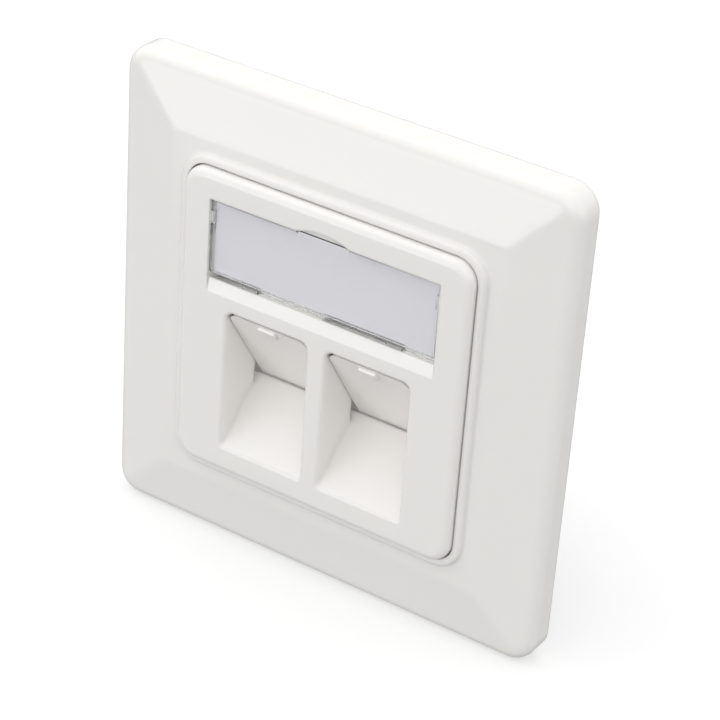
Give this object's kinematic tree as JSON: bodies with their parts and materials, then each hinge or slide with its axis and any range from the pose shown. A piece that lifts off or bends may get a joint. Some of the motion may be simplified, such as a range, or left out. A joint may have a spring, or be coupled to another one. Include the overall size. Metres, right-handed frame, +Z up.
{
  "type": "data outlet",
  "caption": "Square flush wall data outlet with a bevelled cover frame, a hinged label window and slanted plug ports closed by sliding dust shutters.",
  "frame": {"origin": "middle of the cover on the wall's surface, half way between the two box screw slots", "axes": "+X right and +Z up as seen from the room, +Y into the wall"},
  "size_m": [0.08, 0.0336, 0.08],
  "materials": {
    "white_cover": "semi-gloss",
    "white_shutter": "satin",
    "clear_cover": "clear",
    "paper": "uncoated",
    "white_inner": "satin",
    "plated_steel": "zinc plated",
    "grey_housing": "satin",
    "gilt_contact": "plated",
    "green_board": "coated"
  },
  "bodies": {
    "outlet": {"outer_frame": "white_cover", "centre_plate": "white_cover", "label_card": "paper", "shutter_guide": "white_inner", "support_ring": "plated_steel", "plate_screws": "plated_steel", "module_carrier": "white_inner", "carrier_screws": "plated_steel", "jack_housing_left": "grey_housing", "jack_contacts_left": "gilt_contact", "circuit_board_left": "green_board", "punchdown_block_left": "white_inner", "punchdown_contacts_left": "gilt_contact", "wire_cap_left": "grey_housing", "jack_housing_right": "grey_housing", "jack_contacts_right": "gilt_contact", "circuit_board_right": "green_board", "punchdown_block_right": "white_inner", "punchdown_contacts_right": "gilt_contact", "wire_cap_right": "grey_housing"},
    "shutter_left": {"dust_shutter_left": "white_shutter"},
    "shutter_right": {"dust_shutter_right": "white_shutter"},
    "label_cover": {"label_window": "clear_cover"}
  },
  "joints": [
    {"name": "shutter_left_slide", "type": "slide", "parent": "outlet", "child": "shutter_left", "axis": [0, 0.5664, -0.8241], "range_m": [0, 0.015]},
    {"name": "shutter_right_slide", "type": "slide", "parent": "outlet", "child": "shutter_right", "axis": [0, 0.5664, -0.8241], "range_m": [0, 0.015]},
    {"name": "label_cover_hinge", "type": "hinge", "parent": "outlet", "child": "label_cover", "pos_m": [0, -0.00755, 0.00805], "axis": [1, 0, 0], "range_deg": [0, 60]}
  ]
}
